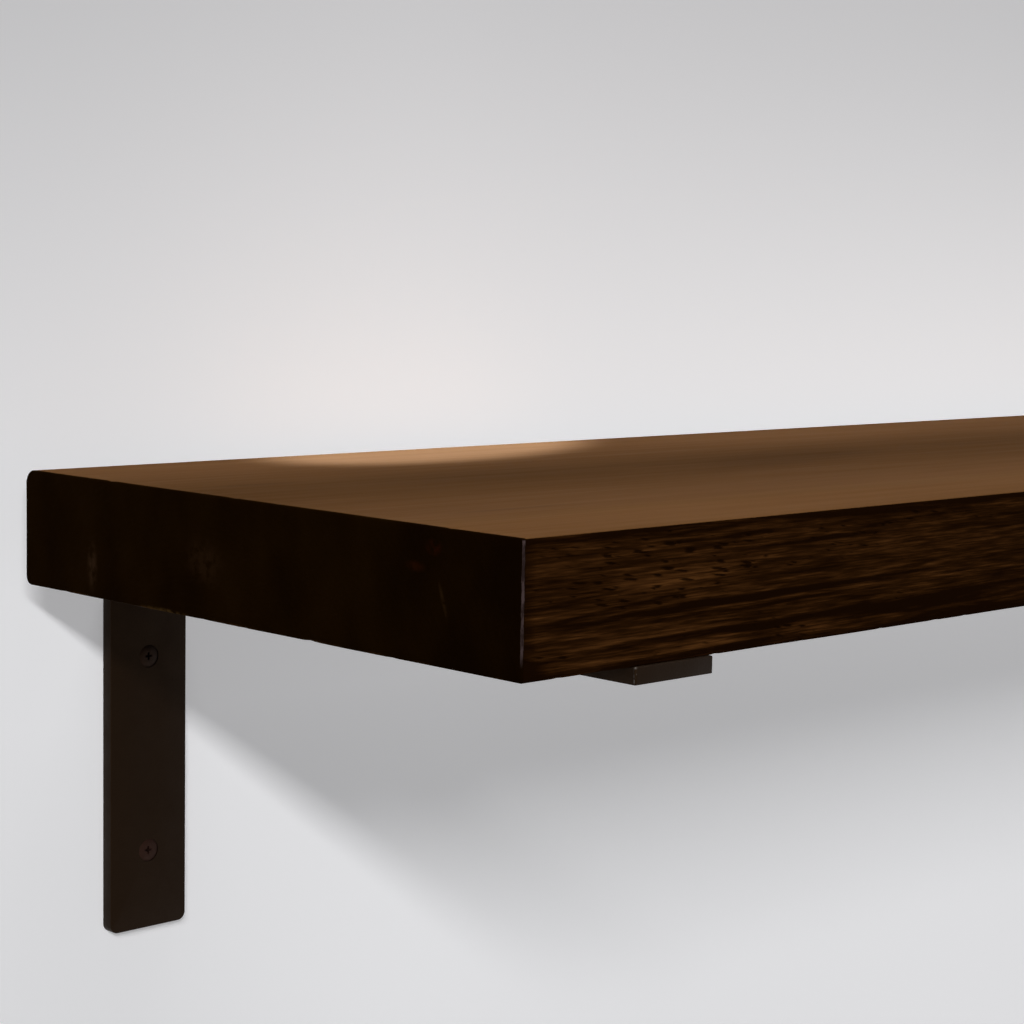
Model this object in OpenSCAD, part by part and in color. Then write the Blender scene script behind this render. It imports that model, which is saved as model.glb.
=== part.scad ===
// Bracket wall shelf: a solid plank carried on two bent flat-bar brackets.
// The origin lies on the wall, at the centre of the four wall fixings.
// X runs along the plank, Y runs into the wall and Z is up. Sizes are in millimetres.

/* [Plank] */
// Length of the plank
board_l = 914; // [500:1:1500]
// Depth of the plank, front to back
board_d = 235; // [180:1:300]
// Thickness of the plank
board_t = 38; // [32:1:60]
// Rounding of the plank's edges
board_edge_r = 2.5; // [1:0.5:6]

/* [Brackets] */
// Width of the flat bar
bar_w = 32; // [25:1:50]
// Thickness of the flat bar
bar_t = 5; // [4:0.5:8]
// Radius inside the bend of the bar
bend_r = 5; // [3:0.5:8]
// Drop of the leg below the plank's underside
leg_drop = 130; // [122:1:200]
// Rounding of the leg's lower corners
leg_corner_r = 3; // [1:0.5:8]
// Rounding of the plate's front corners
plate_corner_r = 0.8; // [0.5:0.1:4]
// Distance from the plank's end to the near side of the bracket
bracket_inset = 42; // [20:1:150]
// Gap between the wall and the plank's back edge
back_gap = 17.7; // [17:0.1:30]
// How far the plate's front end stands out past the plank
front_lip = 1.3; // [0:0.1:10]

/* [Wall fixings] */
// Drop of the upper wall screw below the plank's underside
upper_drop = 32; // [24:1:45]
// Drop of the lower wall screw below the plank's underside
lower_drop = 102; // [70:1:112]
// Length of a wall screw over its head
wall_screw_l = 50; // [45:1:80]
// Outer radius of a wall plug's neck, which is the radius of the hole drilled for it
plug_r = 4; // [3.6:0.1:6]
// Length of a wall plug
plug_l = 40; // [25:1:60]
// Depth of the plug's mouth below the surface of the wall
plug_set = 2.5; // [0:0.5:10]
// Length of the plug's closed neck, ahead of its slits
plug_neck = 12; // [8:1:18]
// How much slimmer the slit part is than the neck, on the radius
plug_relief = 0.2; // [0.1:0.05:0.4]
// Width of the slits that let the plug spread
plug_slit = 1.2; // [0.8:0.1:2]
// Length of the plug's tapered nose
plug_nose = 4; // [2:0.5:6]
// Radius that the nose loses over its length
plug_taper = 0.8; // [0.3:0.1:1]

/* [Plank fixings] */
// Length of a plank screw over its head
board_screw_l = 32; // [24:1:34]
// Distance from the plank's front edge to the front plank screw
front_screw_in = 35; // [20:1:80]
// Distance from the plank's back edge to the rear plank screw
rear_screw_in = 40; // [20:1:80]

/* [Screws] */
// Radius of a screw's head
head_r = 4; // [3.6:0.1:4.6]
// Height of the straight rim of the head
head_rim = 0.3; // [0.2:0.1:0.5]
// Radius of the plain shank, and of the thread's crest
shank_r = 2.1; // [1.8:0.1:2.4]
// Radius of the thread's core
core_r = 1.4; // [1:0.1:1.6]
// Length of plain shank under the head
shank_l = 12; // [9:1:16]
// Distance from one thread crest to the next
thread_pitch = 2.8; // [2:0.1:3.5]
// Height of a thread at its root, along the screw
thread_root = 1.2; // [0.8:0.1:1.6]
// Length of the plain point
tip_l = 4.5; // [3:0.5:6]
// Span of the cross recess over both wings
recess_span = 4.2; // [3:0.1:4.6]
// Width of a wing of the cross recess
recess_w = 1; // [0.8:0.1:1.3]
// Depth of the cross recess
recess_depth = 1.6; // [1:0.1:2]

/* [Clearances] */
// Shank to the hole through the bar, on the radius
hole_clear = 0.3; // [0.1:0.05:0.6]
// Head to its countersink, on the radius
seat_clear = 0.1; // [0.05:0.05:0.3]
// Depth of the head's face below the face of the bar
head_sink = 0.2; // [0:0.05:0.5]
// Thread to the hole that it has cut in the plank or spread in the plug, on the radius
thread_clear = 0.08; // [0.05:0.01:0.2]

/* [Hidden] */
$fn = 64;

// A cutter runs this far past the face that it starts or ends on
over = 1;

// Places of the brackets: the centre line of each bar, left or right of the middle
left = -1;
right = 1;
bracket_x = board_l / 2 - bracket_inset - bar_w / 2;

// Heights: the wall screws stand as far above the origin as below it
upper = 1;
lower = -1;
row_z = (lower_drop - upper_drop) / 2;
under_z = (lower_drop + upper_drop) / 2;
leg_end_z = under_z - leg_drop;

// Depths, all in front of the wall
board_back_y = -back_gap;
board_front_y = board_back_y - board_d;
plate_end_y = board_front_y - front_lip;
front_screw_y = board_front_y + front_screw_in;
rear_screw_y = board_back_y - rear_screw_in;

// The bend of the bar, and the hole through it
bend_out = bend_r + bar_t;
hole_r = shank_r + hole_clear;

// The screw's cone is as deep as it is wide, which makes its angle 90 degrees
head_h = head_rim + head_r - shank_r;

// Outline of one thread ridge that starts z along the screw
function ridge(z, grow) = [
    [core_r + grow, z],
    [shank_r + grow, z + thread_root / 2],
    [core_r + grow, z + thread_root]
];

// Half outline of a screw from under its head to its point, grown on the radius for a hole
function screw_outline(length, grow) = [
    [0, head_h],
    [shank_r + grow, head_h],
    [shank_r + grow, shank_l],
    for (z = [shank_l + thread_pitch - thread_root : thread_pitch : length - tip_l - thread_root])
        each ridge(z, grow),
    [core_r + grow, length - tip_l],
    [0, length + grow]
];

// A screw with its head's face at the origin and its point up along Z
module wood_screw(length) {
    difference() {
        union() {
            rotate_extrude()
                polygon([[0, 0], [head_r, 0], [head_r, head_rim], [shank_r, head_h], [0, head_h]]);
            rotate_extrude()
                polygon(screw_outline(length, 0));
        }
        for (turn = [0, 90])
            rotate([0, 0, turn])
                translate([-recess_span / 2, -recess_w / 2, -over])
                    cube([recess_span, recess_w, recess_depth + over]);
    }
}

// What a screw's hole takes out of the bar, from the bar's face at the origin and up along Z
module screw_seat() {
    seat_r = head_r + seat_clear;
    seat_z = head_sink + head_rim;
    rotate_extrude()
        polygon([
            [0, -over],
            [seat_r, -over],
            [seat_r, seat_z],
            [hole_r, seat_z + seat_r - hole_r],
            [hole_r, bar_t + over],
            [0, bar_t + over]
        ]);
}

// The hole that a screw's thread has cut, with the screw's head at the origin
module thread_hole(length) {
    rotate_extrude()
        polygon(screw_outline(length, thread_clear));
}

// Puts a screw, its hole or its plug at a wall fixing, pointing into the wall
module at_wall_fixing(side, row, y) {
    translate([side * bracket_x, y, row * row_z])
        rotate([-90, 0, 0])
            children();
}

// Puts a screw or its hole at a plank fixing, pointing up into the plank
module at_board_fixing(side, y, sink) {
    translate([side * bracket_x, y, under_z - bar_t + sink])
        children();
}

// Rectangle about the origin with round corners
module round_rect(width, height, r) {
    square([width - 2 * r, height], center = true);
    square([width, height - 2 * r], center = true);
    for (x = [-1, 1], y = [-1, 1])
        translate([x * (width / 2 - r), y * (height / 2 - r)])
            circle(r);
}

// Block about the origin with every edge rounded
module round_block(length, depth, height, r) {
    intersection() {
        linear_extrude(height, center = true)
            round_rect(length, depth, r);
        rotate([90, 0, 0])
            linear_extrude(depth, center = true)
                round_rect(length, height, r);
        rotate([90, 0, 90])
            linear_extrude(length, center = true)
                round_rect(depth, height, r);
    }
}

// Solid softwood plank with the screw holes in its underside
module shelf_board() {
    color("#3a1f0f")
        difference() {
            translate([0, (board_front_y + board_back_y) / 2, under_z + board_t / 2])
                round_block(board_l, board_d, board_t, board_edge_r);
            for (side = [left, right], y = [front_screw_y, rear_screw_y])
                at_board_fixing(side, y, head_sink)
                    thread_hole(board_screw_l);
        }
}

// Side view of the bent bar: a leg down the wall and a plate out under the plank
module bar_section() {
    translate([plate_end_y, under_z - bar_t])
        square([-plate_end_y - bend_out, bar_t]);
    translate([-bar_t, leg_end_z])
        square([bar_t, leg_drop - bend_out]);
    translate([-bend_out, under_z - bend_out])
        intersection() {
            difference() {
                circle(bend_out);
                circle(bend_r);
            }
            square(bend_out);
        }
}

// Cuts the corner at the origin round, where the material lies towards -X and -Y
module corner_cut(r, height) {
    linear_extrude(height, center = true)
        difference() {
            translate([-r, -r])
                square(r + over);
            translate([-r, -r])
                circle(r);
        }
}

// Flat bar bent to an L about its own centre line, with the corners of both ends rounded
module bent_bar() {
    difference() {
        rotate([90, 0, 90])
            linear_extrude(bar_w, center = true)
                bar_section();
        for (edge = [0, 1])
            mirror([edge, 0, 0]) {
                translate([bar_w / 2, 0, leg_end_z])
                    rotate([-90, 0, 0])
                        corner_cut(leg_corner_r, 2 * bar_t + over);
                translate([bar_w / 2, plate_end_y, under_z])
                    rotate([0, 0, -90])
                        corner_cut(plate_corner_r, 2 * bar_t + over);
            }
    }
}

// Bent bar with two countersunk holes in each arm
module bracket(side) {
    color("#1c1512")
        difference() {
            translate([side * bracket_x, 0, 0])
                bent_bar();
            for (row = [upper, lower])
                at_wall_fixing(side, row, -bar_t)
                    screw_seat();
            for (y = [front_screw_y, rear_screw_y])
                at_board_fixing(side, y, 0)
                    screw_seat();
        }
}

// Countersunk screw through the leg into its wall plug
module wall_screw(side, row) {
    color("#2b2320")
        at_wall_fixing(side, row, head_sink - bar_t)
            wood_screw(wall_screw_l);
}

// Nylon plug in the wall: a closed neck that fills its hole, and a slimmer slit part that the
// screw spreads
module wall_plug(side, row) {
    bore_r = shank_r + thread_clear;
    slim_r = plug_r - plug_relief;
    color("#8d8f91")
        at_wall_fixing(side, row, plug_set)
            difference() {
                rotate_extrude()
                    polygon([
                        [bore_r, 0],
                        [plug_r, 0],
                        [plug_r, plug_neck],
                        [slim_r, plug_neck],
                        [slim_r, plug_l - plug_nose],
                        [slim_r - plug_taper, plug_l],
                        [bore_r, plug_l]
                    ]);
                for (turn = [0, 90])
                    rotate([0, 0, turn])
                        translate([-plug_r - over, -plug_slit / 2, plug_neck])
                            cube([2 * (plug_r + over), plug_slit, plug_l - plug_neck + over]);
            }
}

// Countersunk screw up through the plate into the plank
module board_screw(side, y) {
    color("#2b2320")
        at_board_fixing(side, y, head_sink)
            wood_screw(board_screw_l);
}

shelf_board();
bracket(left);  // bracket_left
bracket(right);  // bracket_right
wall_screw(left, upper);  // wall_screw_left_upper
wall_screw(left, lower);  // wall_screw_left_lower
wall_screw(right, upper);  // wall_screw_right_upper
wall_screw(right, lower);  // wall_screw_right_lower
wall_plug(left, upper);  // wall_plug_left_upper
wall_plug(left, lower);  // wall_plug_left_lower
wall_plug(right, upper);  // wall_plug_right_upper
wall_plug(right, lower);  // wall_plug_right_lower
board_screw(left, front_screw_y);  // board_screw_left_front
board_screw(left, rear_screw_y);  // board_screw_left_rear
board_screw(right, front_screw_y);  // board_screw_right_front
board_screw(right, rear_screw_y);  // board_screw_right_rear
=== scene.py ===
# Bracket wall shelf: a dark-stained softwood plank on two bent flat-bar brackets, with the screws
# that hold the plank and the nylon plugs that hold the brackets in the wall. Sizes are in metres.
import math

import bpy
from mathutils import Matrix, Vector


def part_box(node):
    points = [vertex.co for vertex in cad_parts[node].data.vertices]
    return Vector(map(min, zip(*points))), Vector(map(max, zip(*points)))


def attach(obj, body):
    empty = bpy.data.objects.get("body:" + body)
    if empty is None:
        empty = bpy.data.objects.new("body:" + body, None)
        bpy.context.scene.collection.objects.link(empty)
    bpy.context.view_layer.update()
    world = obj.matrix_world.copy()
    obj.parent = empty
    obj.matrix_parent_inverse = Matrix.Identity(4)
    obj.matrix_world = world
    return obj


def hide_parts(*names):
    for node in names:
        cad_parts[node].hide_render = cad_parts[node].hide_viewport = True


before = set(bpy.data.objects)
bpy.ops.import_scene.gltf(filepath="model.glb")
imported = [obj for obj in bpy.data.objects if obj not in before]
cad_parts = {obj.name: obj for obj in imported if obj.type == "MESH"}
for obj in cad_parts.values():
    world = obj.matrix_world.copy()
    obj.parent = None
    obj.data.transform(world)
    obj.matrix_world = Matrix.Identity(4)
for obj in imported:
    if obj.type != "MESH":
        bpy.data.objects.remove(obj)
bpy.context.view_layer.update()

# Camera
# It stands where a camera fitted to the plank's edges stood: out from the left end, a little above
# the plank, looking along and down it. The long lens takes in 25 degrees.
camera_place = Vector((-0.8736, -0.6789, 0.1752))
camera_turn = math.radians(44.04)
camera_dip = math.radians(6.07)
camera_lean = math.radians(1.06)
bpy.ops.object.camera_add()
camera = bpy.context.object
camera.data.sensor_width = 36
camera.data.lens = 82.05
camera.matrix_world = (
    Matrix.Translation(camera_place)
    @ Matrix.Rotation(-camera_turn, 4, "Z")
    @ Matrix.Rotation(math.radians(90) - camera_dip, 4, "X")
    @ Matrix.Rotation(camera_lean, 4, "Z")
)
bpy.context.scene.camera = camera

# Plank
# One solid board, planed, its back edges milled round and the others eased by sanding, then stained
# dark walnut and waxed to a satin. The screws' holes are bored up into its underside.
board_low, board_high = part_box("shelf_board")
board_size = board_high - board_low
board_middle = (board_low + board_high) / 2
top_back_r = 0.0044
low_back_r = 0.0026
milled_facets = 6
eased_edge_r = 0.0008
eased_facets = 4
back_corner_r = 0.0005
edge_band = 0.005
board_columns = 240
board_rows = 46
board_layers = 7
board_layer_t = board_size.z / board_layers
board_hole_r = 0.0022
board_hole_sides = 24
hole_past_tip = 0.0005
cut_past_face = 0.005
same_place = 0.0001
board_screws = [f"board_screw_{side}_{end}" for side in ("left", "right") for end in ("front", "rear")]


def apply_place(piece):
    bpy.ops.object.select_all(action="DESELECT")
    piece.select_set(True)
    bpy.context.view_layer.objects.active = piece
    bpy.ops.object.transform_apply(location=True, rotation=True, scale=True)


def select_in_edit(piece, mode, wanted):
    """Enters edit mode with only the wanted faces, edges or vertices selected."""
    bpy.context.view_layer.objects.active = piece
    bpy.ops.object.mode_set(mode="EDIT")
    bpy.ops.mesh.select_mode(type=mode)
    bpy.ops.mesh.select_all(action="DESELECT")
    bpy.ops.object.mode_set(mode="OBJECT")
    parts = {"FACE": piece.data.polygons, "EDGE": piece.data.edges, "VERT": piece.data.vertices}[mode]
    for part in parts:
        part.select = wanted(part)
    bpy.ops.object.mode_set(mode="EDIT")


def edge_way(piece, edge):
    """Which way an edge runs, as a unit vector."""
    start, end = (piece.data.vertices[i].co for i in edge.vertices)
    return (end - start).normalized()


def edge_middle(piece, edge):
    start, end = (piece.data.vertices[i].co for i in edge.vertices)
    return (start + end) / 2


def turned(name, outline, sides):
    """A round piece drawn up from a disc, ring by ring, through pairs of radius and height."""
    bpy.ops.object.select_all(action="DESELECT")
    radius, height = outline[0]
    bpy.ops.mesh.primitive_circle_add(
        vertices=sides,
        radius=radius,
        fill_type="NGON",
        location=(0, 0, height),
    )
    piece = bpy.context.object
    piece.name = name
    apply_place(piece)
    bpy.ops.object.mode_set(mode="EDIT")
    bpy.ops.mesh.select_all(action="SELECT")
    for next_radius, next_height in outline[1:]:
        bpy.ops.mesh.extrude_region_move(TRANSFORM_OT_translate={"value": (0, 0, next_height - height)})
        share = next_radius / radius
        bpy.ops.transform.resize(value=(share, share, 1), center_override=(0, 0, next_height))
        radius, height = next_radius, next_height
    bpy.ops.mesh.select_all(action="SELECT")
    bpy.ops.mesh.normals_make_consistent(inside=False)
    bpy.ops.object.mode_set(mode="OBJECT")
    return piece


def cut_away(piece, cutters):
    """Takes the cutters' shapes out of the piece and removes them."""
    for cutter in cutters:
        cut = piece.modifiers.new("cut", "BOOLEAN")
        cut.operation = "DIFFERENCE"
        cut.solver = "EXACT"
        cut.object = cutter
        bpy.context.view_layer.objects.active = piece
        bpy.ops.object.modifier_apply(modifier=cut.name)
        bpy.data.objects.remove(cutter)


def finish_piece(piece, material, nodes, sharp_angle):
    bpy.ops.object.select_all(action="DESELECT")
    piece.select_set(True)
    bpy.context.view_layer.objects.active = piece
    bpy.ops.object.shade_smooth_by_angle(angle=math.radians(sharp_angle))
    piece.data.materials.clear()
    piece.data.materials.append(material)
    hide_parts(*nodes)
    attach(piece, "root")


bpy.ops.object.select_all(action="DESELECT")
bpy.ops.mesh.primitive_grid_add(
    x_subdivisions=board_columns,
    y_subdivisions=board_rows,
    size=1,
    location=(board_middle.x, board_middle.y, board_low.z),
)
plank = bpy.context.object
plank.name = "stained_plank"
plank.scale = (board_size.x, board_size.y, 1)
apply_place(plank)
bpy.ops.object.mode_set(mode="EDIT")
bpy.ops.mesh.select_all(action="SELECT")
for layer in range(board_layers):
    bpy.ops.mesh.extrude_region_move(TRANSFORM_OT_translate={"value": (0, 0, board_layer_t)})
bpy.ops.mesh.select_all(action="SELECT")
bpy.ops.mesh.normals_make_consistent(inside=False)
bpy.ops.object.mode_set(mode="OBJECT")


def on_back_edge(edge, height):
    """Whether an edge lies on the plank's long edge next to the wall, at that height."""
    middle = edge_middle(plank, edge)
    at_edge = middle.y > board_high.y - same_place and abs(middle.z - height) < same_place
    return at_edge and abs(edge_way(plank, edge).x) > 0.9


for height, radius in ((board_high.z, top_back_r), (board_low.z, low_back_r)):
    select_in_edit(plank, "EDGE", lambda edge: on_back_edge(edge, height))
    bpy.ops.mesh.bevel(offset=radius, segments=milled_facets, affect="EDGES")
bpy.ops.mesh.select_mode(type="EDGE")
bpy.ops.mesh.select_all(action="DESELECT")
bpy.ops.mesh.edges_select_sharp(sharpness=math.radians(40))
bpy.ops.object.mode_set(mode="OBJECT")
easing = plank.data.attributes.new("bevel_weight_edge", "FLOAT", "EDGE")
for edge in plank.data.edges:
    upright_edge = abs(edge_way(plank, edge).z) > 0.9
    at_back = edge_middle(plank, edge).y > board_high.y - same_place
    radius = back_corner_r if upright_edge and at_back else eased_edge_r
    easing.data[edge.index].value = edge.select * radius / eased_edge_r
rounding = plank.modifiers.new("rounding", "BEVEL")
rounding.limit_method = "WEIGHT"
rounding.width = eased_edge_r
rounding.segments = eased_facets
bpy.context.view_layer.objects.active = plank
bpy.ops.object.modifier_apply(modifier=rounding.name)


def edge_nearness(place, reach):
    """1 on the plank's edges, falling to 0 on the faces at that reach from every edge."""
    off = sorted(min(place[i] - board_low[i], board_high[i] - place[i]) for i in range(3))
    return max(0.0, 1 - off[1] / reach)


select_in_edit(plank, "FACE", lambda face: edge_nearness(face.center, edge_band) > 0)
bpy.ops.mesh.subdivide(number_cuts=1)
bpy.ops.object.mode_set(mode="OBJECT")

cutters = []
for screw in board_screws:
    screw_low, screw_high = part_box(screw)
    screw_middle = (screw_low + screw_high) / 2
    hole_ends = (board_low.z - cut_past_face, screw_high.z + hole_past_tip)
    hole = turned("hole", [(board_hole_r, height) for height in hole_ends], board_hole_sides)
    hole.location = (screw_middle.x, screw_middle.y, 0)
    apply_place(hole)
    cutters.append(hole)
cut_away(plank, cutters)

edges = plank.vertex_groups.new(name="edges")
for vertex in plank.data.vertices:
    edges.add([vertex.index], edge_nearness(vertex.co, edge_band), "REPLACE")
for name, size, height, mid, contrast, brightness in (
    ("sanding", 0.03, 0.0002, 0.5, 1.0, 1.0),
    ("knocks", 0.006, -0.0008, 0.0, 3.0, 0.0),
):
    clouds = bpy.data.textures.new(name, "CLOUDS")
    clouds.noise_scale = size
    clouds.contrast = contrast
    clouds.intensity = brightness
    clouds.use_clamp = True
    dents = plank.modifiers.new(name, "DISPLACE")
    dents.texture = clouds
    dents.texture_coords = "LOCAL"
    dents.vertex_group = "edges"
    dents.strength = height
    dents.mid_level = mid
    bpy.context.view_layer.objects.active = plank
    bpy.ops.object.modifier_apply(modifier=dents.name)


def add_node(tree, kind, sockets=None, **settings):
    """A shader node with its settings made and its sockets set or linked."""
    made = tree.nodes.new("ShaderNode" + kind)
    for setting, value in settings.items():
        setattr(made, setting, value)
    for socket, value in (sockets or {}).items():
        if isinstance(value, bpy.types.NodeSocket):
            tree.links.new(value, made.inputs[socket])
        else:
            made.inputs[socket].default_value = value
    return made


def new_material(name):
    material = bpy.data.materials.new(name)
    material.use_nodes = True
    material.node_tree.nodes.clear()
    return material, material.node_tree


def number(tree, operation, first, second=0.0, third=0.0, clamp=False):
    made = add_node(tree, "Math", {0: first, 1: second, 2: third}, operation=operation, use_clamp=clamp)
    return made.outputs[0]


def remap(tree, value, low, high, to_low=0.0, to_high=1.0, smooth=False):
    made = add_node(
        tree,
        "MapRange",
        {"Value": value, "From Min": low, "From Max": high, "To Min": to_low, "To Max": to_high},
        interpolation_type="SMOOTHSTEP" if smooth else "LINEAR",
    )
    return made.outputs["Result"]


def noise(tree, place, stretch, detail=3.0, roughness=0.5, turn=(0, 0, 0), shift=(0, 0, 0)):
    """Noise whose features measure 1 / stretch metres along X, Y and Z."""
    laid = add_node(
        tree,
        "Mapping",
        {"Vector": place, "Scale": stretch, "Rotation": turn, "Location": shift},
    )
    made = add_node(
        tree,
        "TexNoise",
        {"Vector": laid.outputs[0], "Scale": 1.0, "Detail": detail, "Roughness": roughness},
    )
    return made.outputs[0]


def ramp(tree, value, stops):
    made = add_node(tree, "ValToRGB", {0: value})
    band = made.color_ramp
    while len(band.elements) < len(stops):
        band.elements.new(0.5)
    for element, (at, colour) in zip(band.elements, stops):
        element.position = at
        element.color = (*colour, 1)
    return made.outputs[0]


def mix_colour(tree, share, first, second, blend="MIX"):
    made = add_node(tree, "Mix", {0: share, 6: first, 7: second}, data_type="RGBA", blend_type=blend)
    return made.outputs[2]


def mark(tree, place, centre, half_sizes, turn=(0, 0, 0)):
    """A soft spot: 1 around its centre, falling to 0 at its half sizes."""
    laid = add_node(
        tree,
        "Mapping",
        {"Vector": place, "Location": centre, "Rotation": turn, "Scale": half_sizes},
        vector_type="TEXTURE",
    )
    off = add_node(tree, "VectorMath", {0: laid.outputs[0]}, operation="LENGTH").outputs["Value"]
    return remap(tree, off, 0.2, 1.0, 1.0, 0.0, smooth=True)


wood, tree = new_material("walnut_stained_softwood")
place = add_node(tree, "TexCoord").outputs["Object"]
across = add_node(tree, "SeparateXYZ", {0: place})

ring_spacing = 0.0024
pith_place = Vector((0, board_middle.y + 0.02, board_low.z - 0.05))
pith_turn = (0, math.radians(0.9), math.radians(0.35))
from_pith = add_node(tree, "Mapping", {"Vector": place, "Location": -pith_place, "Rotation": pith_turn})
crosswise = add_node(tree, "VectorMath", {0: from_pith.outputs[0], 1: (0, 1, 1)}, operation="MULTIPLY")
ring_radius = add_node(tree, "VectorMath", {0: crosswise.outputs[0]}, operation="LENGTH")
ring_phase = number(tree, "DIVIDE", ring_radius.outputs["Value"], ring_spacing)
ring_phase = number(tree, "MULTIPLY_ADD", noise(tree, place, (3, 8, 8), detail=2), 5.0, ring_phase)
ring_phase = number(tree, "MULTIPLY_ADD", noise(tree, place, (18, 45, 45), detail=2), 1.1, ring_phase)
latewood = ramp(
    tree,
    number(tree, "FRACT", ring_phase),
    [(0.0, (0.0,) * 3), (0.5, (0.1,) * 3), (0.84, (1.0,) * 3), (1.0, (0.0,) * 3)],
)
ring_strength = remap(tree, noise(tree, place, (9, 70, 70), detail=2), 0.42, 0.62, 0.0, 1.0)
rings = number(tree, "MULTIPLY", latewood, ring_strength)

streaks = noise(tree, place, (7, 190, 190), detail=3, roughness=0.6)
patches = noise(tree, place, (11, 50, 50), detail=2)
threads = noise(tree, place, (40, 760, 760), detail=3, roughness=0.65)
fibres = noise(tree, place, (90, 2100, 2100), detail=2, roughness=0.6)
broad = number(tree, "MULTIPLY_ADD", number(tree, "SUBTRACT", streaks, 0.5), 0.9, 0.0)
broad = number(tree, "MULTIPLY_ADD", number(tree, "SUBTRACT", patches, 0.5), 0.5, broad)
broad = number(tree, "MULTIPLY_ADD", rings, -0.35, broad)
fine = number(tree, "MULTIPLY_ADD", number(tree, "SUBTRACT", threads, 0.5), 1.0, 0.0)
fine = number(tree, "MULTIPLY_ADD", number(tree, "SUBTRACT", fibres, 0.5), 0.7, fine)

# Long dark and pale lines of the grain near the left end of the front face
sway = number(tree, "SUBTRACT", noise(tree, place, (16, 20, 40), detail=2), 0.5)
swayed = add_node(
    tree,
    "VectorMath",
    {0: sway, 1: (0, 0, 0.004), 2: place},
    operation="MULTIPLY_ADD",
).outputs[0]
grain_lines = 0.0
for middle_x, middle_z, half_x, half_z, rise, share in (
    (-0.3650, 0.0818, 0.115, 0.0016, 1.1, -0.70),
    (-0.3650, 0.0792, 0.085, 0.0008, 1.1, -0.40),
    (-0.3500, 0.0738, 0.105, 0.0015, 0.6, -0.55),
    (-0.2850, 0.0735, 0.065, 0.0032, 0.0, -0.38),
    (-0.3800, 0.0870, 0.060, 0.0075, 0.0, 0.10),
    (-0.4570, 0.0670, 0.012, 0.0080, 0.0, -0.60),
    (-0.3750, 0.1002, 0.038, 0.0009, 0.8, -0.35),
    (-0.3330, 0.0963, 0.040, 0.0010, 1.2, -0.30),
    (-0.3250, 0.1033, 0.036, 0.0014, 0.0, -0.30),
    (-0.3980, 0.0888, 0.036, 0.0011, 1.5, 0.36),
    (-0.4000, 0.0915, 0.042, 0.0040, 0.0, 0.22),
    (-0.4400, 0.0775, 0.024, 0.0010, -0.5, 0.24),
    (-0.4000, 0.0748, 0.048, 0.0012, 0.9, 0.34),
    (-0.4000, 0.0699, 0.062, 0.0010, 0.6, 0.28),
    (-0.2490, 0.0905, 0.016, 0.0009, 2.0, 0.30),
    (-0.3000, 0.0856, 0.012, 0.0010, 0.0, 0.20),
    (-0.2780, 0.0848, 0.010, 0.0010, 0.0, 0.24),
    (-0.3290, 0.0706, 0.016, 0.0012, 0.0, 0.24),
    (-0.2990, 0.0710, 0.009, 0.0012, 0.0, 0.24),
):
    line = mark(
        tree,
        swayed,
        (middle_x, board_low.y, middle_z),
        (half_x, 0.02, half_z),
        (0, -math.radians(rise), 0),
    )
    grain_lines = number(tree, "MULTIPLY_ADD", line, share, grain_lines)

# Short dark dashes across the grain, in rows near the left end and scattered elsewhere
dash_rows = remap(tree, noise(tree, place, (14, 75, 75), detail=1, shift=(3, 1, 2)), 0.50, 0.66, 0.0, 0.8)
for middle_x, middle_z, half_x, half_z, rise in (
    (-0.4000, 0.0908, 0.095, 0.0058, 0.3),
    (-0.4100, 0.0853, 0.066, 0.0038, 0.5),
    (-0.4050, 0.0980, 0.075, 0.0060, 0.0),
):
    row = mark(
        tree,
        place,
        (middle_x, board_low.y, middle_z),
        (half_x, 0.02, half_z),
        (0, -math.radians(rise), 0),
    )
    dash_rows = number(tree, "MAXIMUM", dash_rows, row)
ragged = add_node(
    tree,
    "VectorMath",
    {0: threads, 1: (0.0060, 0, 0.0012), 2: place},
    operation="MULTIPLY_ADD",
).outputs[0]
cells = add_node(
    tree,
    "Mapping",
    {
        "Vector": ragged,
        "Rotation": (math.radians(90), math.radians(9), 0),
        "Scale": (0.0110, 0.0019, 1.0),
    },
    vector_type="TEXTURE",
)
dash_cells = add_node(
    tree,
    "TexVoronoi",
    {"Vector": cells.outputs[0], "Scale": 1.0, "Randomness": 0.9},
    voronoi_dimensions="2D",
)
cell_luck = add_node(tree, "SeparateColor", {0: dash_cells.outputs["Color"]})
dash_reach = number(tree, "MULTIPLY_ADD", cell_luck.outputs[0], 0.17, -0.16)
dash_reach = number(tree, "MULTIPLY_ADD", dash_rows, 0.30, dash_reach)
dash_mask = remap(tree, number(tree, "SUBTRACT", dash_reach, dash_cells.outputs["Distance"]), -0.06, 0.10)

side_tone = number(tree, "MULTIPLY_ADD", broad, 0.80, number(tree, "MULTIPLY_ADD", fine, 1.25, 0.50))
side_tone = number(tree, "ADD", side_tone, grain_lines)
right_shade = remap(tree, across.outputs[0], -0.40, -0.28, 0.0, -0.15, smooth=True)
side_tone = number(tree, "ADD", side_tone, right_shade)
rim_low = remap(tree, across.outputs[2], board_low.z + 0.0008, board_low.z + 0.0028, -0.35, 0.0)
rim_high = remap(tree, across.outputs[2], board_high.z - 0.0030, board_high.z - 0.0012, 0.0, -0.30)
rim_end = remap(tree, across.outputs[0], board_low.x + 0.001, board_low.x + 0.005, -0.22, 0.0)
for rim in (rim_low, rim_high, rim_end):
    side_tone = number(tree, "ADD", side_tone, rim)
side_stain = ramp(
    tree,
    side_tone,
    [
        (0.08, (0.0095, 0.0032, 0.0006)),
        (0.38, (0.0245, 0.0086, 0.0018)),
        (0.58, (0.0480, 0.0175, 0.0044)),
        (0.95, (0.1120, 0.0430, 0.0110)),
    ],
)
dash_share = number(tree, "MULTIPLY", dash_mask, 0.88)
side_stain = mix_colour(tree, dash_share, side_stain, (0.0055, 0.0018, 0.0002, 1))

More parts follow.
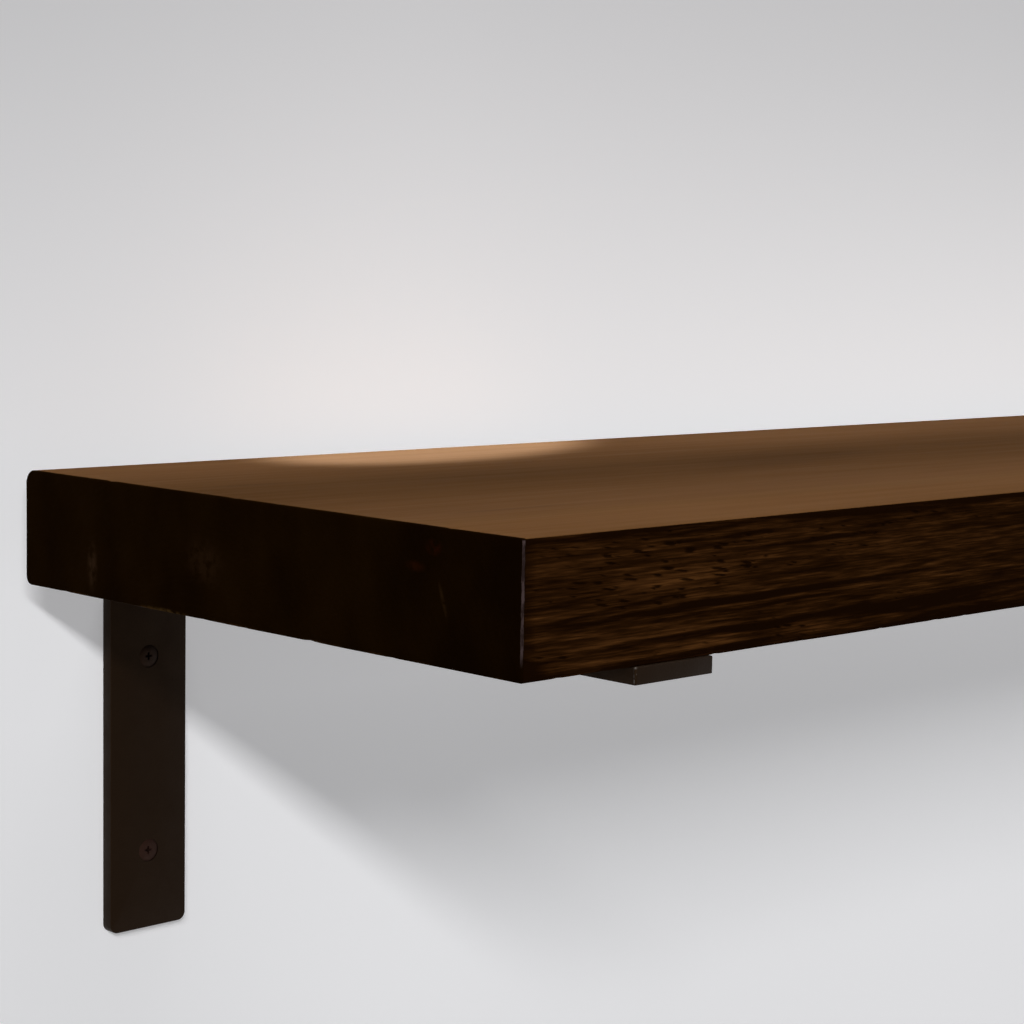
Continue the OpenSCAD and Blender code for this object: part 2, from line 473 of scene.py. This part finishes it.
back_to_front = remap(tree, across.outputs[1], board_high.y, board_low.y)
top_depth = ramp(
    tree,
    back_to_front,
    [
        (0.00, (1.05, 1.06, 1.12)),
        (0.16, (0.94, 0.94, 0.96)),
        (0.33, (0.62, 0.60, 0.52)),
        (0.44, (0.50, 0.47, 0.36)),
        (0.62, (0.68, 0.66, 0.58)),
        (0.85, (1.02, 1.06, 1.20)),
        (1.00, (1.12, 1.17, 1.42)),
    ],
)
top_depth.node.color_ramp.interpolation = "B_SPLINE"
top_tone = number(tree, "MULTIPLY_ADD", broad, 0.34, number(tree, "MULTIPLY_ADD", fine, 0.26, 0.50))

# Darker and lighter places of the top
for middle_x, middle_y, half_x, half_y, turn, share in (
    (-0.2000, -0.1250, 0.090, 0.030, 12, -0.24),
    (-0.3300, -0.1180, 0.085, 0.032, 0, -0.12),
    (-0.1000, -0.0500, 0.130, 0.042, 0, 0.14),
    (-0.3700, -0.2350, 0.080, 0.030, 0, 0.10),
    (-0.4080, -0.1980, 0.036, 0.0024, 0, -0.30),
    (-0.4260, -0.1010, 0.026, 0.0050, 0, -0.20),
    (-0.4320, -0.1510, 0.024, 0.0032, 0, 0.20),
):
    patch = mark(
        tree,
        place,
        (middle_x, middle_y, board_high.z),
        (half_x, half_y, 0.02),
        (0, 0, math.radians(turn)),
    )
    top_tone = number(tree, "MULTIPLY_ADD", patch, share, top_tone)
top_stain = ramp(
    tree,
    top_tone,
    [
        (0.10, (0.0800, 0.0360, 0.0120)),
        (0.50, (0.1110, 0.0510, 0.0180)),
        (0.90, (0.1410, 0.0675, 0.0262)),
    ],
)
top_stain = mix_colour(tree, 1.0, top_stain, top_depth, blend="MULTIPLY")
on_top = remap(tree, across.outputs[2], board_high.z - 0.00026, board_high.z - 0.00012)
stain = mix_colour(tree, on_top, side_stain, top_stain)

end_distance = number(tree, "ABSOLUTE", across.outputs[0])
end_grain = remap(tree, end_distance, board_high.x - 0.0010, board_high.x - 0.0004)
blotches = noise(tree, place, (50, 50, 30), detail=3)
front_shade = remap(tree, across.outputs[1], board_low.y, board_low.y + 0.07, -0.2, 0.0, smooth=True)
end_stain = ramp(
    tree,
    number(tree, "ADD", number(tree, "MULTIPLY_ADD", latewood, -0.04, blotches), front_shade),
    [(0.25, (0.0058, 0.0020, 0.0001)), (0.50, (0.0092, 0.0036, 0.0002)), (0.72, (0.0120, 0.0050, 0.0006))],
)
# Smudges and spots on the end face, broken up by noise; the last entry is a painted lit streak just above
# the bottom edge, a brighter stretch of the painted rim light there
end_mark_breaks = remap(tree, noise(tree, place, (300, 300, 300), detail=3, roughness=0.6), 0.36, 0.56)
for centre_y, centre_z, half_y, half_z, turn, share, colour in (
    (-0.0562, 0.0768, 0.0036, 0.0100, 0, 0.9, (0.0360, 0.0180, 0.0090)),
    (-0.1155, 0.0845, 0.0120, 0.0095, 10, 0.65, (0.0250, 0.0115, 0.0045)),
    (-0.2183, 0.0993, 0.0042, 0.0030, 0, 0.5, (0.0300, 0.0055, 0.0010)),
    (-0.2107, 0.0934, 0.0052, 0.0020, 0, 0.5, (0.0300, 0.0070, 0.0015)),
    (-0.2222, 0.0852, 0.0010, 0.0070, -20, 0.8, (0.0260, 0.0125, 0.0040)),
    (-0.0950, 0.0672, 0.0160, 0.0012, 0, 0.9, (0.0700, 0.0380, 0.0120)),
):
    spot = mark(
        tree,
        place,
        (board_low.x, centre_y, centre_z),
        (0.01, half_y, half_z),
        (math.radians(turn), 0, 0),
    )
    spot = number(tree, "MULTIPLY", spot, number(tree, "MULTIPLY", end_mark_breaks, share))
    end_stain = mix_colour(tree, spot, end_stain, (*colour, 1))
stain = mix_colour(tree, end_grain, stain, end_stain)

# Lighter greyish line down the front corners of the ends: partly wear on the rounding, partly a painted
# highlight
corner_x = number(tree, "SUBTRACT", board_high.x, end_distance)
corner_y = number(tree, "SUBTRACT", across.outputs[1], board_low.y)
corner_z = number(tree, "SUBTRACT", across.outputs[2], board_low.z)
frayed = number(tree, "MULTIPLY", noise(tree, place, (900, 900, 260), detail=3, roughness=0.7), 0.0009)
corner_off = number(tree, "ADD", number(tree, "MAXIMUM", corner_x, corner_y), frayed)
front_corner = remap(tree, corner_off, 0.00090, 0.00110, 1.0, 0.0)
below_top = remap(tree, across.outputs[2], board_high.z - 0.0008, board_high.z - 0.0003, 1.0, 0.0)
above_low = remap(tree, across.outputs[2], board_low.z + 0.004, board_low.z + 0.009)
corner_mark_breaks = remap(tree, noise(tree, place, (500, 500, 200), detail=3, roughness=0.7), 0.36, 0.54, 0.3, 1.0)
corner_wear_and_highlight = number(tree, "MULTIPLY", number(tree, "MULTIPLY", front_corner, below_top), corner_mark_breaks)
corner_wear_and_highlight = number(tree, "MULTIPLY", corner_wear_and_highlight, above_low)
stain = mix_colour(tree, number(tree, "MULTIPLY", corner_wear_and_highlight, 0.9), stain, (0.085, 0.057, 0.056, 1))
# Painted rim light: a lighter orange-brown line along the bottom edges of the ends
low_corner = remap(tree, number(tree, "MAXIMUM", corner_x, corner_z), 0.0004, 0.0007, 1.0, 0.0)
low_edge_rim_light = number(tree, "MULTIPLY", low_corner, remap(tree, blotches, 0.50, 0.66))
stain = mix_colour(tree, number(tree, "MULTIPLY", low_edge_rim_light, 0.6), stain, (0.060, 0.026, 0.008, 1))

grain_depth = number(tree, "MULTIPLY_ADD", threads, 0.6, number(tree, "MULTIPLY", dash_mask, -0.5))
grain_bump = add_node(
    tree,
    "Bump",
    {"Strength": remap(tree, on_top, 0.0, 1.0, 0.3, 0.1), "Distance": 0.0004, "Height": grain_depth},
)
wood_shader = add_node(
    tree,
    "BsdfPrincipled",
    {
        "Base Color": stain,
        "Roughness": remap(tree, streaks, 0.3, 0.7, 0.74, 0.64),
        "Specular IOR Level": 0.004,
        "Specular Tint": (1.0, 0.5, 0.2, 1),
        "Normal": grain_bump.outputs[0],
    },
)
add_node(tree, "OutputMaterial", {"Surface": wood_shader.outputs[0]})
finish_piece(plank, wood, ["shelf_board"], 40)

# Brackets
# Each is one hot-rolled flat bar, bent cold to an L, with two countersunk holes drilled in each arm.
# The bar is sheared to length, its corners are filed, and it is coated a matt brown-black.
bar_t = 0.005
bend_r = 0.005
bend_facets = 12
bar_rounding = 0.0003
leg_corner_r = 0.003
plate_corner_r = 0.0008
seat_r = 0.00404
seat_rim = 0.0005
seat_sides = 48
bar_hole_r = 0.0024
cut_over = 0.001
bend_out = bend_r + bar_t
bracket_low, bracket_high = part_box("bracket_left")
bar_w = bracket_high.x - bracket_low.x
bar_x = (bracket_low.x + bracket_high.x) / 2
plate_l = -bend_out - bracket_low.y
wall_screws = [f"wall_screw_{side}_{row}" for side in ("left", "right") for row in ("upper", "lower")]

bpy.ops.object.select_all(action="DESELECT")
bpy.ops.mesh.primitive_cube_add(
    size=1,
    location=(bar_x, bracket_low.y + plate_l / 2, bracket_high.z - bar_t / 2),
    scale=(bar_w, plate_l, bar_t),
)
bar = bpy.context.object
bar.name = "bent_bar_left"
apply_place(bar)
select_in_edit(bar, "FACE", lambda face: face.normal.y > 0.9)
bpy.ops.mesh.spin(
    steps=bend_facets,
    angle=math.radians(90),
    center=(bar_x, -bend_out, bracket_high.z - bend_out),
    axis=(1, 0, 0),
)
leg_drop = bracket_high.z - bend_out - bracket_low.z
bpy.ops.mesh.extrude_region_move(TRANSFORM_OT_translate={"value": (0, 0, -leg_drop)})
bpy.ops.mesh.select_all(action="SELECT")
bpy.ops.mesh.remove_doubles(threshold=0.00001)
bpy.ops.mesh.normals_make_consistent(inside=False)
bpy.ops.object.mode_set(mode="OBJECT")
for way, at_end, corner_r, segments in (
    (1, lambda middle: middle.z < bracket_low.z + bar_rounding, leg_corner_r, 8),
    (2, lambda middle: middle.y < bracket_low.y + bar_rounding, plate_corner_r, 3),
):
    select_in_edit(
        bar,
        "EDGE",
        lambda edge: abs(edge_way(bar, edge)[way]) > 0.9 and at_end(edge_middle(bar, edge)),
    )
    bpy.ops.mesh.bevel(offset=corner_r, segments=segments, affect="EDGES")
    bpy.ops.object.mode_set(mode="OBJECT")
rounding = bar.modifiers.new("rounding", "BEVEL")
rounding.width = bar_rounding
rounding.segments = 3
rounding.limit_method = "ANGLE"
rounding.angle_limit = math.radians(50)
bpy.context.view_layer.objects.active = bar
bpy.ops.object.modifier_apply(modifier=rounding.name)

seat = turned(
    "seat",
    [
        (seat_r, -cut_over),
        (seat_r, seat_rim),
        (bar_hole_r, seat_rim + seat_r - bar_hole_r),
        (bar_hole_r, bar_t + cut_over),
    ],
    seat_sides,
)
into_wall = Matrix.Rotation(math.radians(-90), 4, "X")


def placed_copy(piece, name, place):
    """A copy with its own mesh, moved by a matrix that then goes into the mesh."""
    copy = piece.copy()
    copy.data = piece.data.copy()
    copy.name = name
    copy.data.name = name
    bpy.context.scene.collection.objects.link(copy)
    copy.matrix_world = place
    apply_place(copy)
    return copy


cutters = []
for screw in wall_screws[:2]:
    screw_low, screw_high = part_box(screw)
    middle = (screw_low + screw_high) / 2
    at = Matrix.Translation((middle.x, -bar_t, middle.z)) @ into_wall
    cutters.append(placed_copy(seat, "seat_cut", at))
for screw in board_screws[:2]:
    screw_low, screw_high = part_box(screw)
    middle = (screw_low + screw_high) / 2
    at = Matrix.Translation((middle.x, middle.y, bracket_high.z - bar_t))
    cutters.append(placed_copy(seat, "seat_cut", at))
bpy.data.objects.remove(seat)
cut_away(bar, cutters)

coating, tree = new_material("brown_black_coating")
place = add_node(tree, "TexCoord").outputs["Object"]
across = add_node(tree, "SeparateXYZ", {0: place})
mottle = noise(tree, place, (90, 90, 90), detail=4, roughness=0.6)
scale_marks = noise(tree, place, (260, 260, 260), detail=2)
tone = number(tree, "MULTIPLY_ADD", number(tree, "SUBTRACT", scale_marks, 0.5), 0.4, mottle)
coat = ramp(
    tree,
    tone,
    [(0.30, (0.0018, 0.0009, 0.0005)), (0.55, (0.0024, 0.0012, 0.0007)), (0.75, (0.0034, 0.0018, 0.0011))],
)
side_x = number(tree, "SUBTRACT", number(tree, "ABSOLUTE", across.outputs[0]), abs(bar_x))
corner_x = number(tree, "SUBTRACT", bar_w / 2, number(tree, "ABSOLUTE", side_x))
corner_y = number(tree, "SUBTRACT", across.outputs[1], bracket_low.y)
corner_reach = number(tree, "MAXIMUM", corner_x, corner_y)
chip_zone = remap(tree, corner_reach, 0.0004, 0.0008, 1.0, 0.0)
chip_breaks = remap(tree, noise(tree, place, (1100, 1100, 600), detail=2), 0.50, 0.58)
chips = number(tree, "MULTIPLY", chip_zone, chip_breaks)
coat = mix_colour(tree, chips, coat, (0.13, 0.12, 0.11, 1))
peel = noise(tree, place, (1200, 1200, 1200), detail=2)
peel_bump = add_node(
    tree,
    "Bump",
    {
        "Strength": 0.25,
        "Distance": 0.0002,
        "Height": number(tree, "MULTIPLY_ADD", chips, -1.5, peel),
    },
)
coat_gloss = remap(tree, mottle, 0.3, 0.7, 0.56, 0.68)
coat_shader = add_node(
    tree,
    "BsdfPrincipled",
    {
        "Base Color": coat,
        "Roughness": coat_gloss,
        "Specular IOR Level": 0.21,
        "Specular Tint": (1.0, 0.54, 0.25, 1),
        "Normal": peel_bump.outputs[0],
    },
)
add_node(tree, "OutputMaterial", {"Surface": coat_shader.outputs[0]})
right_bar = placed_copy(bar, "bent_bar_right", Matrix.Translation((-2 * bar_x, 0, 0)))
finish_piece(bar, coating, ["bracket_left"], 35)
finish_piece(right_bar, coating, ["bracket_right"], 35)

# Screws
# Countersunk wood screws with a cross recess, rolled from steel wire and blackened: four long ones
# go through the legs into the wall, and four short ones up through the plates into the plank.
head_r = 0.004
head_rim = 0.0003
head_sink = 0.0002
head_chamfer = (0.00015, 0.00012)
shank_r = 0.0021
core_r = 0.0014
shank_l = 0.012
thread_pitch = 0.0028
thread_root = 0.0012
thread_start = 0.0006
tip_l = 0.0045
tip_rings = 12
tip_point = 0.07
recess_size = (0.0042, 0.001, 0.0034)
recess_taper = (0.35, 0.6, 1)
head_h = head_rim + head_r - shank_r
screw_sides = 32
rings_a_turn = 10


def thread_height(height, angle, length):
    """How far the thread stands out of the core there, from 0 to 1, running out at both ends."""
    turns = (height - shank_l) / thread_pitch - angle / math.tau
    off_crest = abs(turns % 1 - 0.5) * thread_pitch
    ridge = max(0.0, 1 - off_crest / (thread_root / 2))
    run_in = (height - shank_l) / thread_pitch
    run_out = (length - tip_l / 2 - height) / thread_pitch
    return ridge * min(1.0, max(0.0, run_in), max(0.0, run_out))


def wood_screw(name, length):
    outline = [
        (head_r - head_chamfer[0], 0),
        (head_r, head_chamfer[1]),
        (head_r, head_rim),
        (shank_r, head_h),
        (shank_r, shank_l),
        (core_r, shank_l + thread_start),
    ]
    step = thread_pitch / rings_a_turn
    height = shank_l + thread_start + step
    while height < length - tip_l:
        outline.append((core_r, height))
        height += step
    for ring in range(tip_rings + 1):
        share = ring / tip_rings
        outline.append((core_r * (1 - (1 - tip_point) * share), length - tip_l * (1 - share)))
    screw = turned(name, outline, screw_sides)
    for vertex in screw.data.vertices:
        out = Vector((vertex.co.x, vertex.co.y, 0))
        if vertex.co.z > shank_l and out.length > 0:
            angle = math.atan2(vertex.co.y, vertex.co.x)
            stand = (shank_r - core_r) * thread_height(vertex.co.z, angle, length)
            vertex.co += out.normalized() * stand
    wings = []
    for turn in (0, 90):
        bpy.ops.object.select_all(action="DESELECT")
        bpy.ops.mesh.primitive_cube_add(size=1, location=(0, 0, 0), scale=recess_size)
        wing = bpy.context.object
        apply_place(wing)
        select_in_edit(wing, "FACE", lambda face: face.normal.z > 0.9)
        bpy.ops.transform.resize(value=recess_taper, center_override=(0, 0, recess_size[2] / 2))
        bpy.ops.object.mode_set(mode="OBJECT")
        wing.matrix_world = Matrix.Rotation(math.radians(turn), 4, "Z")
        apply_place(wing)
        wings.append(wing)
    cut_away(screw, wings)
    return screw


steel, tree = new_material("blackened_screw_steel")
place = add_node(tree, "TexCoord").outputs["Object"]
mottle = noise(tree, place, (350, 350, 350), detail=3, roughness=0.6)
steel_tone = ramp(
    tree,
    mottle,
    [(0.30, (0.0030, 0.0015, 0.0010)), (0.55, (0.0050, 0.0025, 0.0018)), (0.75, (0.0080, 0.0044, 0.0033))],
)
height = add_node(tree, "SeparateXYZ", {0: place}).outputs[2]
rubbed = remap(tree, height, 0.0, -0.01, 0.0, 0.8)
steel_tone = mix_colour(tree, rubbed, steel_tone, (0.0210, 0.0092, 0.0072, 1))
steel_bump = add_node(tree, "Bump", {"Strength": 0.2, "Distance": 0.0001, "Height": mottle})
steel_shader = add_node(
    tree,
    "BsdfPrincipled",
    {
        "Base Color": steel_tone,
        "Roughness": remap(tree, mottle, 0.3, 0.7, 0.50, 0.64),
        "Specular IOR Level": 0.21,
        "Specular Tint": (1.0, 0.54, 0.32, 1),
        "Normal": steel_bump.outputs[0],
    },
)
add_node(tree, "OutputMaterial", {"Surface": steel_shader.outputs[0]})

long_screw = wood_screw("long_screw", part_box(wall_screws[0])[1].y + bar_t - head_sink)
for node in wall_screws:
    screw_low, screw_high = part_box(node)
    middle = (screw_low + screw_high) / 2
    at = Matrix.Translation((middle.x, screw_low.y, middle.z)) @ into_wall
    screw = placed_copy(long_screw, node.replace("wall_screw", "long_screw"), at)
    finish_piece(screw, steel, [node], 50)
bpy.data.objects.remove(long_screw)
short_low, short_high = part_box(board_screws[0])
short_screw = wood_screw("short_screw", short_high.z - short_low.z)
for node in board_screws:
    screw_low, screw_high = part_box(node)
    middle = (screw_low + screw_high) / 2
    at = Matrix.Translation((middle.x, middle.y, screw_low.z))
    screw = placed_copy(short_screw, node.replace("board_screw", "short_screw"), at)
    finish_piece(screw, steel, [node], 50)
bpy.data.objects.remove(short_screw)

# Wall plugs
# Grey moulded nylon: a closed neck that fills the drilled hole, then a slimmer part with barbs, slit
# along most of its length so that the screw spreads it, and a tapered nose.
plug_r = 0.004
plug_bore_r = 0.00218
plug_neck = 0.012
plug_relief = 0.0002
plug_slit = 0.0012
plug_nose = 0.004
plug_taper = 0.0008
barb_pitch = 0.004
barb_depth = 0.00045
barb_step = 0.0002
mouth_chamfer = 0.0003
plug_sides = 48
bore_sides = 32
plug_low, plug_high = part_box("wall_plug_left_upper")
plug_l = plug_high.y - plug_low.y
slim_r = plug_r - plug_relief
outline = [(plug_r - mouth_chamfer, 0), (plug_r, mouth_chamfer), (plug_r, plug_neck)]
height = plug_neck
while height + barb_pitch < plug_l - plug_nose:
    outline.append((slim_r - barb_depth, height + barb_step))
    outline.append((slim_r, height + barb_pitch))
    height += barb_pitch
outline.append((slim_r - barb_depth, height + barb_step))
outline.append((slim_r - barb_depth, plug_l - plug_nose))
outline.append((slim_r - plug_taper, plug_l))
nylon_plug = turned("nylon_plug", outline, plug_sides)
bore_ends = (-cut_over, plug_l + cut_over)
cutters = [turned("bore", [(plug_bore_r, height) for height in bore_ends], bore_sides)]
for turn in (0, 90):
    bpy.ops.object.select_all(action="DESELECT")
    bpy.ops.mesh.primitive_cube_add(
        size=1,
        location=(0, 0, (plug_neck + plug_l + cut_over) / 2),
        rotation=(0, 0, math.radians(turn)),
        scale=(3 * plug_r, plug_slit, plug_l + cut_over - plug_neck),
    )
    slit = bpy.context.object
    apply_place(slit)
    cutters.append(slit)
cut_away(nylon_plug, cutters)

nylon, tree = new_material("grey_nylon")
place = add_node(tree, "TexCoord").outputs["Object"]
clouding = noise(tree, place, (160, 160, 160), detail=3)
nylon_tone = ramp(tree, clouding, [(0.3, (0.33, 0.34, 0.35)), (0.7, (0.39, 0.40, 0.41))])
nylon_bump = add_node(tree, "Bump", {"Strength": 0.1, "Distance": 0.0001, "Height": clouding})
nylon_shader = add_node(
    tree,
    "BsdfPrincipled",
    {
        "Base Color": nylon_tone,
        "Roughness": remap(tree, clouding, 0.3, 0.7, 0.42, 0.52),
        "Subsurface Weight": 0.08,
        "Subsurface Radius": (0.001, 0.001, 0.001),
        "Normal": nylon_bump.outputs[0],
    },
)
add_node(tree, "OutputMaterial", {"Surface": nylon_shader.outputs[0]})
for side in ("left", "right"):
    for row in ("upper", "lower"):
        node = f"wall_plug_{side}_{row}"
        plug_low, plug_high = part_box(node)
        middle = (plug_low + plug_high) / 2
        at = Matrix.Translation((middle.x, plug_low.y, middle.z)) @ into_wall
        plug = placed_copy(nylon_plug, f"nylon_plug_{side}_{row}", at)
        finish_piece(plug, nylon, [node], 40)
bpy.data.objects.remove(nylon_plug)

# Stage and lights
# A plain pale wall just behind the legs and a plain pale floor well below are seen from their front
# side only, so that the shelf shows from behind and below too, and neither throws light back. Soft
# lamps light it from above, the upper left, behind and below, and a narrow one pools on its top.
def pale_stage(name, size, matrix, tone, glow, grip, fades=()):
    """A one-sided sheet: the glow is what the camera sees, and the grip is what takes shadows."""
    bpy.ops.object.select_all(action="DESELECT")
    bpy.ops.mesh.primitive_plane_add(size=size)
    sheet = bpy.context.object
    sheet.name = name
    sheet.matrix_world = matrix
    material, tree = new_material(name)
    across = add_node(tree, "SeparateXYZ", {0: add_node(tree, "TexCoord").outputs["Object"]})
    colour = (*tone, 1)
    for way, start, stop, from_share, to_share in fades:
        fade = remap(tree, across.outputs[way], start, stop, from_share, to_share, smooth=True)
        colour = mix_colour(tree, 1.0, colour, fade, blend="MULTIPLY")
    path = add_node(tree, "LightPath")
    seen = number(tree, "MAXIMUM", path.outputs["Is Camera Ray"], path.outputs["Is Glossy Ray"])
    seen = number(tree, "MAXIMUM", seen, path.outputs["Is Transmission Ray"])
    light = add_node(tree, "Emission", {"Color": colour, "Strength": number(tree, "MULTIPLY", seen, glow)})
    matt_colour = mix_colour(tree, 1.0, colour, (grip, grip, grip, 1), blend="MULTIPLY")
    matt = add_node(tree, "BsdfDiffuse", {"Color": matt_colour})
    front = add_node(tree, "AddShader", {0: light.outputs[0], 1: matt.outputs[0]})
    clear = add_node(tree, "BsdfTransparent")
    behind = add_node(tree, "NewGeometry").outputs["Backfacing"]
    let_through = number(tree, "MAXIMUM", path.outputs["Is Shadow Ray"], path.outputs["Is Diffuse Ray"])
    let_through = number(tree, "MAXIMUM", behind, let_through)
    surface = add_node(tree, "MixShader", {0: let_through, 1: front.outputs[0], 2: clear.outputs[0]})
    add_node(tree, "OutputMaterial", {"Surface": surface.outputs[0]})
    sheet.data.materials.append(material)


wall_gap = 0.0005
floor_z = -1.1
sheet_size = 10
pale = (0.98, 0.98, 1.0)
upright = Matrix.Rotation(math.radians(90), 4, "X")

# The fades paint shade onto the wall: darker up the wall and toward the left, a little lighter toward the
# right
# Each fade: along X or up the wall, from where to where, and the shares of the tone there
wall_painted_shade = (
    (1, 0.05, 0.36, 1.0, 0.62),
    (0, -0.50, -0.24, 0.86, 1.0),
    (0, -0.24, 0.16, 1.0, 1.05),
)
wall_place = Matrix.Translation((0, wall_gap, 0)) @ upright
pale_stage("pale_wall", sheet_size, wall_place, pale, 0.325, 0.92, wall_painted_shade)
pale_stage("pale_floor", sheet_size, Matrix.Translation((0, 0, floor_z)), pale, 0.8, 0.04)


def soft_lamp(name, target, way_back, distance, size, power, colour=(1, 1, 1)):
    """An area lamp that far from its target: its first side lies in the plane of the wall's normal."""
    aim = -Vector(way_back).normalized()
    first_side = (Vector((0, 1, 0)) - aim * aim.y).normalized()
    second_side = (-aim).cross(first_side)
    bpy.ops.object.light_add(type="AREA")
    lamp = bpy.context.object
    lamp.name = name
    lamp.data.shape = "RECTANGLE"
    lamp.data.size, lamp.data.size_y = size
    lamp.data.energy = power
    lamp.data.color = colour
    turn = Matrix((first_side, second_side, -aim)).transposed().to_4x4()
    lamp.matrix_world = Matrix.Translation(Vector(target) - aim * distance) @ turn


soft_lamp("overhead", (-0.1, -0.14, 0.1), (0, -0.05, 1), 4.0, (1.0, 2.6), 138)
soft_lamp("front_left", (-0.3, -0.1, 0), (-0.793, -1, 0.565), 5.0, (1.8, 0.3), 135)
soft_lamp("from_behind", (0, 0, 0), (0.4, 1, -0.35), 4.0, (1.5, 1.5), 60)
soft_lamp("below", (0, -0.135, 0.06), (0, 0.045, -1), 3.0, (0.3, 2.0), 28)

# The narrow lamp stands high behind the wall and lays an oval pool on the plank's top, near the wall
pool_middle = Vector((-0.283, -0.023, board_high.z))
pool_place = Vector((-0.283, 0.09, 0.9))
pool_half_l = 0.102
pool_half_w = 0.050
pool_turn = math.radians(15)
bpy.ops.object.light_add(type="SPOT")
pool_lamp = bpy.context.object
pool_lamp.name = "pool"
pool_lamp.data.energy = 155
pool_lamp.data.color = (0.52, 0.66, 1.0)
pool_lamp.data.spot_size = 2 * math.atan(pool_half_l / (pool_place - pool_middle).length)
pool_lamp.data.spot_blend = 0.6
pool_lamp.data.shadow_soft_size = 0.01
pool_back = (pool_place - pool_middle).normalized()
pool_across = pool_back.cross(Vector((math.cos(pool_turn), math.sin(pool_turn), 0))).normalized()
pool_along = pool_across.cross(pool_back)
turn = Matrix((pool_along, pool_across, pool_back)).transposed().to_4x4()
squeeze = Matrix.Diagonal((1, pool_half_w / pool_half_l, 1, 1))
pool_lamp.matrix_world = Matrix.Translation(pool_place) @ turn @ squeeze

world = bpy.data.worlds.new("studio")
bpy.context.scene.world = world
world.use_nodes = True
tree = world.node_tree
tree.nodes.clear()
path = add_node(tree, "LightPath")
seen = number(tree, "MAXIMUM", path.outputs["Is Camera Ray"], path.outputs["Is Glossy Ray"])
seen = number(tree, "MAXIMUM", seen, path.outputs["Is Transmission Ray"])
strength = number(tree, "MULTIPLY_ADD", seen, 0.6, 0.1)
air = add_node(tree, "Background", {"Color": (0.99, 0.99, 1.0, 1), "Strength": strength})
add_node(tree, "OutputWorld", {"Surface": air.outputs[0]})
bpy.context.scene.view_settings.view_transform = "Standard"
